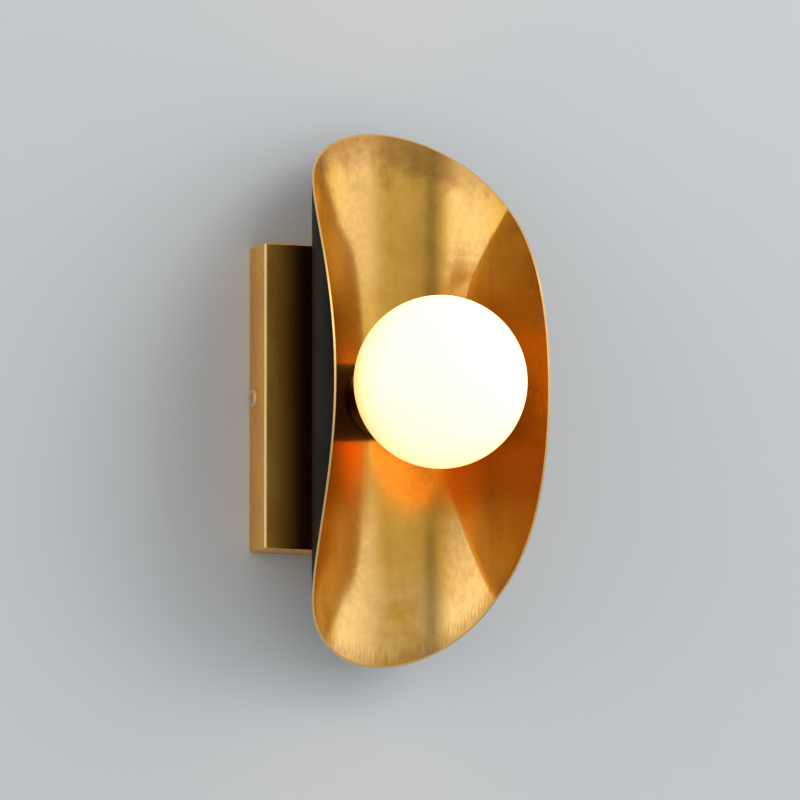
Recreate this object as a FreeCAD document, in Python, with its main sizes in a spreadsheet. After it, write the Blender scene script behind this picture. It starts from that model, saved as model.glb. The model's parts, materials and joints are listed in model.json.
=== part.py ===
import FreeCAD
import Part
import Sketcher

import math
import os

# Wall sconce: a bent brass shell and a globe lamp in front of a shallow wall box.
# +Z is up, the wall is the plane Y = 0 and the lamp axis runs along -Y from the origin.
# Every piece is drawn in its own frame: X across, Y up, Z away from the wall.

SIZES = {
    # wall box
    "box_width": 132.0,
    "box_height": 170.0,
    "box_depth": 24.0,
    "box_sheet": 1.2,
    "box_bend": 1.6,
    "box_back_corner": 2.5,
    # bracket
    "plate_sheet": 1.6,
    "plate_bend": 2.4,
    "ear_gap": 0.3,
    "ear_height": 26.0,
    "ear_reach": 17.0,
    "crossbar_height": 40.0,
    "upright_width": 40.0,
    "upright_height": 144.0,
    "slot_spacing": 116.0,
    "slot_width": 4.6,
    "slot_length": 12.0,
    "cable_hole": 16.0,
    "cable_bore": 10.0,
    "cable_drop": 12.0,
    "bushing_flange": 21.0,
    "bushing_flange_thick": 1.4,
    # side screws
    "side_screw_depth": 9.6,
    "side_screw_shank": 5.0,
    "side_screw_head": 9.8,
    "side_screw_head_high": 2.2,
    "side_screw_edge": 1.1,
    "side_screw_length": 10.0,
    "side_screw_recess": 6.0,
    "side_screw_recess_bar": 1.6,
    "side_screw_recess_deep": 1.3,
    # shell
    "shell_sheet": 1.2,
    "valley_radius": 55.6,
    "valley_angle": 69.0,
    "side_radius": 160.0,
    "rim_reach": 121.3,
    "rim_radius": 142.0,
    "rim_tangent": 107.0,
    # stack on the hollow nipple
    "saddle_thick": 1.0,
    "saddle_diameter": 26.0,
    "cup_saddle_thick": 2.2,
    "cup_saddle_diameter": 18.0,
    "nipple_diameter": 10.0,
    "nipple_bore": 7.0,
    "nipple_nut_margin": 1.0,
    "nipple_chamfer": 0.4,
    "nut_flats": 14.0,
    "nut_thick": 3.0,
    "washer_diameter": 15.0,
    "washer_thick": 0.8,
    # socket cup and lamp holder
    "cup_diameter": 43.0,
    "cup_sheet": 1.0,
    "cup_corner": 8.0,
    "cup_length": 36.0,
    "holder_plate_thick": 1.0,
    "floor_gap": 8.1,
    "floor_thick": 2.5,
    "holder_diameter": 39.0,
    "holder_length": 24.5,
    "foot_diameter": 5.2,
    "foot_spacing": 19.8,
    "liner_bore": 26.34,
    "liner_sheet": 0.4,
    "liner_length": 19.5,
    "liner_flange": 24.8,
    "liner_fit": 0.05,
    "tongue_thick": 0.5,
    "tongue_width": 5.0,
    "tongue_rise": 1.0,
    "tongue_pad": 6.0,
    "clamp_size": 6.0,
    "clamp_high": 4.0,
    "clamp_offset": 12.5,
    "clamp_end_wall": 1.0,
    "clamp_end_gap": 0.5,
    "rivet_diameter": 1.4,
    "neutral_rivet_offset": 13.1,
    "live_rivet_offset": 10.2,
    "holder_screw_shank": 2.5,
    "holder_screw_head": 4.5,
    "holder_screw_head_high": 1.5,
    "screw_groove": 0.7,
    # terminal block
    "block_width": 32.0,
    "block_height": 18.0,
    "block_deep": 13.0,
    "block_centre": 33.0,
    "pole_pitch": 10.0,
    "insert_diameter": 5.0,
    "insert_bore": 2.2,
    "insert_length": 16.0,
    "clamp_screw_shank": 2.5,
    "clamp_screw_offset": 4.8,
    "clamp_screw_sink": 1.0,
    "block_screw_shank": 3.0,
    "block_screw_head": 4.4,
    "block_screw_head_high": 2.2,
    "plate_bite": 1.2,
    # wires
    "wire_diameter": 1.8,
    "wire_bend": 6.0,
    "wire_end_bend": 3.0,
    "wire_spread": 1.5,
    "wire_seat": 5.0,
    "earth_screw_x": 13.0,
    "earth_screw_drop": 27.0,
    "earth_screw_shank": 4.0,
    "earth_screw_head": 8.0,
    "earth_screw_head_high": 2.4,
    "ring_diameter": 8.0,
    "ring_thick": 0.8,
    "ring_barrel": 3.4,
    "ring_barrel_start": 5.6,
    "ring_barrel_length": 6.0,
    "ring_lead_in": 2.5,
    "earth_swing": 3.0,
    # bulb
    "globe_diameter": 95.0,
    "globe_wall": 1.2,
    "globe_mouth": 52.0,
    "collar_start": 24.0,
    "collar_length": 12.75,
    "collar_wall": 1.6,
    "collar_neck": 28.6,
    "collar_spigot": 22.9,
    "collar_spigot_length": 8.0,
    "cap_thread": 26.2,
    "cap_root": 24.4,
    "cap_sheet": 0.5,
    "cap_start": 6.0,
    "cap_pitch": 3.629,
    "cap_ridge": 2.6,
    "cap_turns": 4.0,
    "tip_diameter": 9.6,
    "tip_dome": 0.8,
    "tip_thick": 0.9,
    "insulator_seat": 1.2,
    "lead_diameter": 0.9,
    "carrier_thick": 2.0,
    "led_ring": 30.0,
    "led_size": 3.2,
    "led_high": 0.8,
    "led_count": 12.0,
    "board_width": 19.0,
    "board_length": 24.0,
    "board_thick": 1.6,
    # shared clearances
    "thread_fit": 0.03,
    "clearance": 0.25,
}


class Size:
    """A number together with the sheet expression that gives it."""

    def __init__(self, value, text):
        self.value = float(value)
        self.text = text

    def __add__(self, other):
        other = as_size(other)
        return Size(self.value + other.value, f"({self.text} + {other.text})")

    def __sub__(self, other):
        other = as_size(other)
        return Size(self.value - other.value, f"({self.text} - {other.text})")

    def __mul__(self, other):
        other = as_size(other)
        return Size(self.value * other.value, f"({self.text} * {other.text})")

    def __truediv__(self, other):
        other = as_size(other)
        return Size(self.value / other.value, f"({self.text} / {other.text})")

    def __neg__(self):
        return Size(-self.value, f"(0 - {self.text})")


def as_size(number):
    return number if isinstance(number, Size) else Size(number, repr(float(number)))


def root(size):
    return Size(math.sqrt(size.value), f"sqrt({size.text})")


def sine(angle):
    return Size(math.sin(math.radians(angle.value)), f"sin({angle.text} * 1 deg)")


def cosine(angle):
    return Size(math.cos(math.radians(angle.value)), f"cos({angle.text} * 1 deg)")


doc = FreeCAD.newDocument("sconce")
sheet = doc.addObject("Spreadsheet::Sheet", "dims")
for row, (alias, number) in enumerate(SIZES.items(), start=1):
    sheet.set(f"A{row}", alias)
    sheet.set(f"B{row}", str(number))
    sheet.setAlias(f"B{row}", alias)
doc.recompute()

d = {alias: Size(number, f"dims.{alias}") for alias, number in SIZES.items()}
nodes = []

LAMP_AXIS = FreeCAD.Rotation(FreeCAD.Vector(1, 0, 0), 90)
TO_LEFT = FreeCAD.Rotation(FreeCAD.Vector(0, 1, 0), -90)
TO_RIGHT = FreeCAD.Rotation(FreeCAD.Vector(0, 1, 0), 90)
FULL_TURN = 360
NEAR = 1e-5


# ---------------------------------------------------------------- helpers

def place(piece, x=0, depth=0, z=0, rotation=LAMP_AXIS):
    """Put a piece at x, at a depth in front of the wall and at a height z."""
    piece.Placement = FreeCAD.Placement(FreeCAD.Vector(0, 0, 0), rotation)
    for key, size in (("x", as_size(x)), ("y", -as_size(depth)), ("z", as_size(z))):
        piece.setExpression(f"Placement.Base.{key}", size.text)


def new_body(label, **position):
    body = doc.addObject("PartDesign::Body", label)
    body.Label = label
    place(body, **position)
    nodes.append(body)
    return body


def new_sketch(body, role, offset=None):
    sketch = body.newObject("Sketcher::SketchObject", "outline")
    plane = next(item for item in body.Origin.OriginFeatures if item.Role == role)
    sketch.AttachmentSupport = [(plane, "")]
    sketch.MapMode = "FlatFace"
    if offset is not None:
        sketch.setExpression("AttachmentOffset.Base.z", as_size(offset).text)
    return sketch


def fix(sketch, kind, index, point, size):
    """Hold one coordinate of a point, measured from the sketch's origin."""
    size = as_size(size)
    if abs(size.value) < NEAR:
        axis = -2 if kind == "DistanceX" else -1
        sketch.addConstraint(Sketcher.Constraint("PointOnObject", index, point, axis))
        return
    if size.value > 0:
        ends = (-1, 1, index, point)
    else:
        ends = (index, point, -1, 1)
        size = -size
    number = sketch.addConstraint(Sketcher.Constraint(kind, *ends, size.value))
    sketch.setExpression(f"Constraints[{number}]", size.text)


def arc_between(start, end, radius):
    """Minor arc from start to end, anticlockwise when radius is positive."""
    reach = abs(radius)
    middle = (start + end) * 0.5
    chord = end - start
    rise = math.sqrt(max(reach ** 2 - chord.Length ** 2 / 4, 0))
    side = FreeCAD.Vector(-chord.y, chord.x, 0).normalize() * math.copysign(rise, radius)
    centre = middle + side
    first, last = (start, end) if radius > 0 else (end, start)
    angles = [math.atan2(spot.y - centre.y, spot.x - centre.x) for spot in (first, last)]
    return Part.ArcOfCircle(Part.Circle(centre, FreeCAD.Vector(0, 0, 1), reach), *angles)


def draw(sketch, corners, arcs=None):
    """Closed outline through corners; arcs gives the radius of a side by its number."""
    arcs = arcs or {}
    spots = [FreeCAD.Vector(as_size(x).value, as_size(y).value, 0) for x, y in corners]
    base = sketch.GeometryCount
    ends = []
    for side, start in enumerate(spots):
        end = spots[(side + 1) % len(spots)]
        if side in arcs:
            sketch.addGeometry(arc_between(start, end, as_size(arcs[side]).value), False)
            ends.append((1, 2) if as_size(arcs[side]).value > 0 else (2, 1))
        else:
            sketch.addGeometry(Part.LineSegment(start, end), False)
            ends.append((1, 2))
    for side in range(len(spots)):
        after = (side + 1) % len(spots)
        joined = (base + side, ends[side][1], base + after, ends[after][0])
        sketch.addConstraint(Sketcher.Constraint("Coincident", *joined))
    for side, (x, y) in enumerate(corners):
        fix(sketch, "DistanceX", base + side, ends[side][0], x)
        fix(sketch, "DistanceY", base + side, ends[side][0], y)
    for side, radius in arcs.items():
        radius = as_size(radius)
        radius = radius if radius.value > 0 else -radius
        held = Sketcher.Constraint("Radius", base + side, radius.value)
        sketch.setExpression(f"Constraints[{sketch.addConstraint(held)}]", radius.text)


def draw_rectangle(sketch, width, height, x=0, y=0):
    x = as_size(x)
    y = as_size(y)
    half_width = as_size(width) / 2
    half_height = as_size(height) / 2
    left = x - half_width
    right = x + half_width
    low = y - half_height
    high = y + half_height
    draw(sketch, [(left, low), (right, low), (right, high), (left, high)])


def draw_circle(sketch, diameter, x=0, y=0):
    x = as_size(x)
    y = as_size(y)
    diameter = as_size(diameter)
    centre = FreeCAD.Vector(x.value, y.value, 0)
    ring = Part.Circle(centre, FreeCAD.Vector(0, 0, 1), diameter.value / 2)
    index = sketch.addGeometry(ring, False)
    if x.value == 0 and y.value == 0:
        sketch.addConstraint(Sketcher.Constraint("Coincident", index, 3, -1, 1))
    else:
        fix(sketch, "DistanceX", index, 3, x)
        fix(sketch, "DistanceY", index, 3, y)
    held = Sketcher.Constraint("Diameter", index, diameter.value)
    sketch.setExpression(f"Constraints[{sketch.addConstraint(held)}]", diameter.text)


def draw_slot(sketch, length, width, y):
    """Upright slot with round ends, centred on the Y axis."""
    radius = width / 2
    straight = (length - width) / 2
    corners = [(-radius, y - straight), (0, y - straight - radius), (radius, y - straight),
               (radius, y + straight), (0, y + straight + radius), (-radius, y + straight)]
    draw(sketch, corners, {0: radius, 1: radius, 3: radius, 4: radius})


def draw_hexagon(sketch, flats):
    """Hexagon with two of its flats facing up and down."""
    half = flats / 2
    corner = flats / math.sqrt(3)
    near = corner / 2
    draw(sketch, [(corner, 0), (near, half), (-near, half),
                  (-corner, 0), (-near, -half), (near, -half)])


def pad(body, sketch, length, symmetric=False):
    feature = body.newObject("PartDesign::Pad", "pad")
    feature.Profile = sketch
    if symmetric:
        feature.SideType = "Symmetric"
    feature.setExpression("Length", as_size(length).text)
    sketch.Visibility = False
    doc.recompute()
    return feature


def cut(body, sketch, depth=None, towards_outside=True, symmetric=False):
    """Pocket through everything, or to a depth, on the outward side of its sketch."""
    feature = body.newObject("PartDesign::Pocket", "cut")
    feature.Profile = sketch
    feature.Reversed = towards_outside
    if symmetric:
        feature.SideType = "Symmetric"
    if depth is None:
        feature.Type = "ThroughAll"
    else:
        feature.setExpression("Length", as_size(depth).text)
    sketch.Visibility = False
    doc.recompute()
    return feature


def turn(body, sketch):
    """Revolve a half profile about the piece's own Z axis."""
    feature = body.newObject("PartDesign::Revolution", "turned")
    feature.Profile = sketch
    feature.ReferenceAxis = (sketch, ["V_Axis"])
    feature.Angle = FULL_TURN
    sketch.Visibility = False
    doc.recompute()
    return feature


def turned_body(label, corners, arcs=None, **position):
    """A body of revolution: corners are (radius, distance along the axis)."""
    body = new_body(label, **position)
    profile = new_sketch(body, "XZ_Plane")
    draw(profile, corners, arcs)
    turn(body, profile)
    return body


def dress(body, kind, feature, wanted, size):
    """Fillet or chamfer every edge of a feature that wanted() accepts."""
    names = [f"Edge{number}" for number, edge in enumerate(feature.Shape.Edges, start=1) if wanted(edge)]
    dressed = body.newObject(f"PartDesign::{kind}", "edges")
    dressed.Base = (feature, names)
    dressed.setExpression("Radius" if kind == "Fillet" else "Size", as_size(size).text)
    doc.recompute()
    return dressed


def is_straight(edge):
    ends = [corner.Point for corner in edge.Vertexes]
    return len(ends) == 2 and abs((ends[1] - ends[0]).Length - edge.Length) < NEAR


def runs_along(edge, axis):
    if not is_straight(edge):
        return False
    span = edge.Vertexes[1].Point - edge.Vertexes[0].Point
    return abs(abs(span.dot(axis)) - edge.Length) < NEAR


def solid_node(label, shape):
    """A piece made by plain solid operations on sizes read from the sheet."""
    node = doc.addObject("Part::Feature", label)
    node.Label = label
    node.Shape = shape
    node.Placement = FreeCAD.Placement(FreeCAD.Vector(0, 0, 0), LAMP_AXIS)
    nodes.append(node)
    return node


def along_z(x, y, start, length, diameter):
    """Round bar along Z in the lamp frame."""
    spot = FreeCAD.Vector(x, y, start)
    return Part.makeCylinder(diameter / 2, length, spot, FreeCAD.Vector(0, 0, 1))


def tube_path(points, bends):
    """Straight runs through points, joined by tangent arcs of the given radii."""
    edges = []
    here = points[0]
    for number, radius in enumerate(bends, start=1):
        before, corner, after = points[number - 1:number + 2]
        into = (corner - before).normalize()
        out = (after - corner).normalize()
        half = math.acos(max(-1, min(1, into.dot(out)))) / 2
        tangent = radius * math.tan(half)
        first = corner - into * tangent
        last = corner + out * tangent
        bisector = (out - into).normalize()
        centre = corner + bisector * (radius / math.cos(half))
        middle = centre - bisector * radius
        edges.append(Part.LineSegment(here, first).toShape())
        edges.append(Part.Arc(first, middle, last).toShape())
        here = last
    edges.append(Part.LineSegment(here, points[-1]).toShape())
    return Part.Wire(edges)


def round_tube(path, diameter):
    start = path.Edges[0]
    spot = start.valueAt(start.FirstParameter)
    heading = start.tangentAt(start.FirstParameter)
    ring = Part.Wire([Part.Circle(spot, heading, diameter / 2).toShape()])
    return path.makePipeShell([ring], True, False)


# ---------------------------------------------------------------- depths in front of the wall

half_box = d["box_width"] / 2
shell_back = d["box_depth"] + d["saddle_thick"]
shell_face = shell_back + d["shell_sheet"]
cup_back = shell_face + d["cup_saddle_thick"]
plate_back = cup_back + d["cup_sheet"]
cup_nut_back = plate_back + d["holder_plate_thick"]
cup_nut_front = cup_nut_back + d["nut_thick"]
floor_back = cup_nut_back + d["floor_gap"]
floor_front = floor_back + d["floor_thick"]
bulb_tip = floor_front + d["tongue_rise"]
box_washer_back = d["box_depth"] - d["box_sheet"] - d["washer_thick"]
box_nut_back = box_washer_back - d["nut_thick"]
nipple_back = box_nut_back - d["nipple_nut_margin"]
nipple_hole = d["nipple_diameter"] + d["clearance"]


# ---------------------------------------------------------------- wall bracket

def wall_bracket():
    body = new_body("wall_bracket")
    outer = half_box - d["box_sheet"] - d["ear_gap"]
    inner = outer - d["plate_sheet"]
    section = new_sketch(body, "XZ_Plane")
    corners = [(-outer, 0), (outer, 0), (outer, d["ear_reach"]), (inner, d["ear_reach"]),
               (inner, d["plate_sheet"]), (-inner, d["plate_sheet"]), (-inner, d["ear_reach"]),
               (-outer, d["ear_reach"])]
    draw(section, corners)
    channel = pad(body, section, d["crossbar_height"], symmetric=True)
    dress(body, "Fillet", channel,
          lambda edge: runs_along(edge, FreeCAD.Vector(0, 1, 0))
          and edge.BoundBox.ZMax < NEAR, d["plate_bend"])
    ears = new_sketch(body, "YZ_Plane")
    for side in (1, -1):
        trim = (d["crossbar_height"] - d["ear_height"]) / 2
        middle = (d["ear_height"] + trim) / 2 * side
        depth = d["ear_reach"] - d["plate_bend"]
        draw_rectangle(ears, trim, depth, middle, d["plate_bend"] + depth / 2)
    cut(body, ears, symmetric=True)
    upright = new_sketch(body, "XY_Plane")
    draw_rectangle(upright, d["upright_width"], d["upright_height"])
    pad(body, upright, d["plate_sheet"])
    holes = new_sketch(body, "XY_Plane")
    for side in (1, -1):
        draw_slot(holes, d["slot_length"], d["slot_width"], d["slot_spacing"] / 2 * side)
    draw_circle(holes, d["cable_hole"], 0, -d["cable_drop"])
    draw_circle(holes, d["block_screw_shank"] + d["thread_fit"] * 2, d["pole_pitch"] / 2, d["block_centre"])
    earth_tap = d["earth_screw_shank"] + d["thread_fit"] * 2
    draw_circle(holes, earth_tap, -d["earth_screw_x"], -d["earth_screw_drop"])
    cut(body, holes)
    taps = new_sketch(body, "YZ_Plane")
    draw_circle(taps, d["side_screw_shank"] + d["thread_fit"] * 2, 0, d["side_screw_depth"])
    cut(body, taps, symmetric=True)


def cable_bushing():
    bore = d["cable_bore"] / 2
    barrel = d["cable_hole"] / 2 - d["thread_fit"]
    flange = d["bushing_flange"] / 2
    top = d["plate_sheet"] + d["bushing_flange_thick"]
    turned_body("cable_bushing", [(bore, 0), (barrel, 0), (barrel, d["plate_sheet"]),
                                  (flange, d["plate_sheet"]), (flange, top), (bore, top)],
                z=-d["cable_drop"])


# ---------------------------------------------------------------- wall box and its screws

def box_cover():
    body = new_body("box_cover")
    side_view = new_sketch(body, "YZ_Plane")
    high = d["box_height"] / 2
    corner = d["box_back_corner"]
    depth = d["box_depth"]
    outline = [(-high, depth), (-high, corner), (corner - high, 0), (high - corner, 0),
               (high, corner), (high, depth)]
    draw(side_view, outline, {1: corner, 3: corner})
    block = pad(body, side_view, d["box_width"], symmetric=True)
    front = depth.value
    dress(body, "Fillet", block,
          lambda edge: edge.BoundBox.ZMin > front - NEAR
          or runs_along(edge, FreeCAD.Vector(0, 0, 1)), d["box_bend"])
    hollow = new_sketch(body, "XY_Plane")
    draw_rectangle(hollow, d["box_width"] - d["box_sheet"] * 2, d["box_height"] - d["box_sheet"] * 2)
    inside = cut(body, hollow, depth - d["box_sheet"])
    floor = (depth - d["box_sheet"]).value
    dress(body, "Fillet", inside,
          lambda edge: is_straight(edge) and edge.BoundBox.ZMin > floor - NEAR
          and edge.BoundBox.ZMax < floor + NEAR,
          d["box_bend"] - d["box_sheet"])
    centre_hole = new_sketch(body, "XY_Plane")
    draw_circle(centre_hole, nipple_hole)
    cut(body, centre_hole)
    side_holes = new_sketch(body, "YZ_Plane")
    draw_circle(side_holes, d["side_screw_shank"] + d["clearance"] * 2, 0, d["side_screw_depth"])
    cut(body, side_holes, symmetric=True)


def side_screw(label, sign, rotation):
    body = new_body(label, x=half_box * sign, depth=d["side_screw_depth"], rotation=rotation)
    profile = new_sketch(body, "XZ_Plane")
    head = d["side_screw_head"] / 2
    shank = d["side_screw_shank"] / 2
    high = d["side_screw_head_high"]
    edge = d["side_screw_edge"]
    draw(profile, [(0, -d["side_screw_length"]), (shank, -d["side_screw_length"]), (shank, 0),
                   (head, 0), (head, high - edge), (head - edge, high), (0, high)], {4: edge})
    turn(body, profile)
    recess = new_sketch(body, "XY_Plane", high)
    wing = d["side_screw_recess"] / 2
    bar = d["side_screw_recess_bar"] / 2
    draw(recess, [(wing, -bar), (wing, bar), (bar, bar), (bar, wing), (-bar, wing), (-bar, bar),
                  (-wing, bar), (-wing, -bar), (-bar, -bar), (-bar, -wing), (bar, -wing), (bar, -bar)])
    cut(body, recess, d["side_screw_recess_deep"], towards_outside=False)


# ---------------------------------------------------------------- shell

def shell_section(sketch):
    """U-shaped band: a valley arc, a longer arc up each side, then straight, well past the rim."""
    bend = sine(d["valley_angle"])
    fall = cosine(d["valley_angle"])
    lean = d["side_radius"] - d["valley_radius"]
    centre = shell_face + d["valley_radius"]
    straight_end = centre + lean * fall + d["rim_reach"]
    corners = []
    arcs = {}
    for extra, way in ((d["shell_sheet"], 1), (as_size(0), -1)):
        valley = d["valley_radius"] + extra
        side = d["side_radius"] + extra
        knee = (valley * bend, centre - valley * fall)
        shoulder = (side - lean * bend, centre + lean * fall)
        end = (shoulder[0], straight_end)
        arcs.update({len(corners) + 1: side * way, len(corners) + 2: valley * way,
                     len(corners) + 3: side * way})
        corners += [(x * -way, y) for x, y in (end, shoulder, knee)]
        corners += [(x * way, y) for x, y in (knee, shoulder, end)]
    draw(sketch, corners, arcs)
    return straight_end


def shell_reflector():
    body = new_body("shell_reflector")
    section = new_sketch(body, "XZ_Plane")
    straight_end = shell_section(section)
    centre = d["rim_reach"] - d["rim_radius"]
    fall = root(d["rim_radius"] * d["rim_radius"] - d["rim_tangent"] * d["rim_tangent"])
    tip = d["rim_tangent"] + (centre + fall - shell_back) * fall / d["rim_tangent"]
    pad(body, section, tip * 2, symmetric=True)
    rim = new_sketch(body, "YZ_Plane")
    beyond = straight_end + d["shell_sheet"]
    draw(rim, [(-tip, shell_back), (-d["rim_tangent"], centre + fall), (d["rim_tangent"], centre + fall),
               (tip, shell_back), (tip + d["shell_sheet"], shell_back), (tip + d["shell_sheet"], beyond),
               (-tip - d["shell_sheet"], beyond), (-tip - d["shell_sheet"], shell_back)],
         {1: -d["rim_radius"]})
    cut(body, rim, symmetric=True)
    hole = new_sketch(body, "XY_Plane")
    draw_circle(hole, nipple_hole)
    cut(body, hole)


def saddle_washers():
    """Round discs with one face hollowed or rounded to the shell's own valley radius."""
    outer = new_body("shell_saddle_washer", depth=d["box_depth"])
    ring = new_sketch(outer, "XY_Plane")
    draw_circle(ring, d["saddle_diameter"])
    draw_circle(ring, nipple_hole)
    radius = d["valley_radius"] + d["shell_sheet"]
    half = d["saddle_diameter"] / 2 + d["clearance"]
    rise = radius - root(radius * radius - half * half)
    deep = d["saddle_thick"] + rise
    pad(outer, ring, deep)
    cradle = new_sketch(outer, "XZ_Plane")
    draw(cradle, [(-half, deep), (half, deep), (half, deep * 2), (-half, deep * 2)], {0: radius})
    cut(outer, cradle, symmetric=True)

    inner = new_body("cup_saddle_washer", depth=shell_face)
    ring = new_sketch(inner, "XY_Plane")
    draw_circle(ring, d["cup_saddle_diameter"])
    draw_circle(ring, nipple_hole)
    pad(inner, ring, d["cup_saddle_thick"])
    belly = new_sketch(inner, "XZ_Plane")
    half = d["cup_saddle_diameter"] / 2 + d["clearance"]
    rise = d["valley_radius"] - root(d["valley_radius"] * d["valley_radius"] - half * half)
    draw(belly, [(-half, rise), (-half, -rise), (half, -rise), (half, rise)], {3: -d["valley_radius"]})
    cut(inner, belly, symmetric=True)


# ---------------------------------------------------------------- hollow nipple and its nuts

def hollow_nipple():
    outer = d["nipple_diameter"] / 2
    bore = d["nipple_bore"] / 2
    edge = d["nipple_chamfer"]
    length = cup_nut_front + d["nipple_nut_margin"] - nipple_back
    turned_body("hollow_nipple", [(bore, 0), (outer - edge, 0), (outer, edge), (outer, length - edge),
                                  (outer - edge, length), (bore, length)], depth=nipple_back)


def hex_nut(label, depth):
    body = new_body(label, depth=depth)
    outline = new_sketch(body, "XY_Plane")
    draw_hexagon(outline, d["nut_flats"])
    draw_circle(outline, d["nipple_diameter"] + d["thread_fit"] * 2)
    pad(body, outline, d["nut_thick"])


def lock_washer():
    inner = d["nipple_diameter"] / 2 + d["clearance"] / 2
    outer = d["washer_diameter"] / 2
    turned_body("box_lock_washer", [(inner, 0), (outer, 0), (outer, d["washer_thick"]),
                                    (inner, d["washer_thick"])], depth=box_washer_back)


# ---------------------------------------------------------------- socket cup and lamp holder

def socket_cup():
    outer = d["cup_diameter"] / 2
    wall = d["cup_sheet"]
    corner = d["cup_corner"]
    hole = nipple_hole / 2
    inner = outer - wall
    length = d["cup_length"]
    flat = outer - corner
    turned_body("socket_cup", [(hole, 0), (flat, 0), (outer, corner), (outer, length),
                               (inner, length), (inner, corner), (flat, wall), (hole, wall)],
                {1: corner, 5: -(corner - wall)}, depth=cup_back)


def holder_plate():
    """Round plate on the flat of the cup's floor, with tapped holes for the holder's screws."""
    body = new_body("holder_plate", depth=plate_back)
    outline = new_sketch(body, "XY_Plane")
    draw_circle(outline, d["cup_diameter"] - d["cup_corner"] * 2 - d["clearance"] * 2)
    draw_circle(outline, nipple_hole)
    for side in (1, -1):
        draw_circle(outline, d["holder_screw_shank"] + d["thread_fit"] * 2, 0, d["foot_spacing"] / 2 * side)
    pad(body, outline, d["holder_plate_thick"])


def holder_body():
    body = new_body("holder_body", depth=floor_back)
    outer = d["holder_diameter"] / 2
    well = d["liner_bore"] / 2 + d["liner_sheet"] + d["liner_fit"]
    profile = new_sketch(body, "XZ_Plane")
    draw(profile, [(0, 0), (outer, 0), (outer, d["holder_length"]), (well, d["holder_length"]),
                   (well, d["floor_thick"]), (0, d["floor_thick"])])
    turn(body, profile)
    feet = new_sketch(body, "XY_Plane", -d["floor_gap"])
    for side in (1, -1):
        draw_circle(feet, d["foot_diameter"], 0, d["foot_spacing"] / 2 * side)
    pad(body, feet, d["floor_gap"])
    holes = new_sketch(body, "XY_Plane", -d["floor_gap"])
    for side in (1, -1):
        draw_circle(holes, d["holder_screw_shank"] + d["clearance"], 0, d["foot_spacing"] / 2 * side)
    draw_circle(holes, d["rivet_diameter"] + d["thread_fit"] * 2, d["neutral_rivet_offset"], 0)
    draw_circle(holes, d["rivet_diameter"] + d["thread_fit"] * 2, -d["live_rivet_offset"], 0)
    cut(body, holes)


def screw_shell_liner():
    bore = d["liner_bore"] / 2
    outer = bore + d["liner_sheet"]
    flange = d["liner_flange"] / 2
    length = d["liner_length"]
    thick = d["liner_sheet"]
    turned_body("screw_shell_liner", [(flange, 0), (outer, 0), (outer, length), (bore, length),
                                      (bore, thick), (flange, thick)], depth=floor_front)


def centre_contact():
    """Flat spring strip, cranked up in the middle to meet the bulb's tip."""
    body = new_body("centre_contact", depth=floor_front)
    rise = d["tongue_rise"]
    thick = d["tongue_thick"]
    start = -d["live_rivet_offset"] - d["rivet_diameter"]
    end = d["tongue_pad"] / 2
    knee = -end
    bend = knee - d["tongue_rise"]
    side_view = new_sketch(body, "XZ_Plane")
    draw(side_view, [(start, 0), (bend, 0), (knee, rise - thick), (end, rise - thick),
                     (end, rise), (knee, rise), (bend, thick), (start, thick)])
    pad(body, side_view, d["tongue_width"], symmetric=True)


def wire_clamp(label, sign, rivet_offset, rivet_top):
    """Brass clamp under the holder's floor with a rivet that passes up through it."""
    size = SIZES["clamp_size"]
    high = SIZES["clamp_high"]
    top = floor_back.value
    centre = SIZES["clamp_offset"] * sign
    corner = FreeCAD.Vector(centre - size / 2, -size / 2, top - high)
    block = Part.makeBox(size, size, high, corner)
    bore_start = FreeCAD.Vector(centre - sign * size / 2, 0, top - high / 2)
    bore = SIZES["wire_diameter"] / 2 + SIZES["thread_fit"]
    deep = size - SIZES["clamp_end_wall"]
    block = block.cut(Part.makeCylinder(bore, deep, bore_start, FreeCAD.Vector(sign, 0, 0)))
    rivet = along_z(rivet_offset.value * sign, 0, top - high / 4, rivet_top.value - top + high / 4,
                    SIZES["rivet_diameter"])
    solid_node(label, block.fuse(rivet).removeSplitter())


def slotted_screw(x, y, bottom, seat, shank, head, high, groove):
    """Round-headed screw along the lamp axis, with a straight groove across its head."""
    bar = along_z(x, y, bottom, seat - bottom, shank)
    cap = along_z(x, y, seat, high, head)
    corner = FreeCAD.Vector(x - head / 2, y - groove / 2, seat + high - groove)
    return bar.fuse(cap).removeSplitter().cut(Part.makeBox(head, groove, groove, corner))


def holder_screws():
    bottom = plate_back.value + SIZES["clearance"]
    solids = []
    for side in (1, -1):
        y = SIZES["foot_spacing"] / 2 * side
        solids.append(slotted_screw(0, y, bottom, floor_front.value, SIZES["holder_screw_shank"],
                                    SIZES["holder_screw_head"], SIZES["holder_screw_head_high"],
                                    SIZES["screw_groove"]))
    solid_node("holder_screws", Part.makeCompound(solids))


# ---------------------------------------------------------------- terminal block

def pole_xs():
    return [SIZES["pole_pitch"] * step for step in (-1, 0, 1)]


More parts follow.
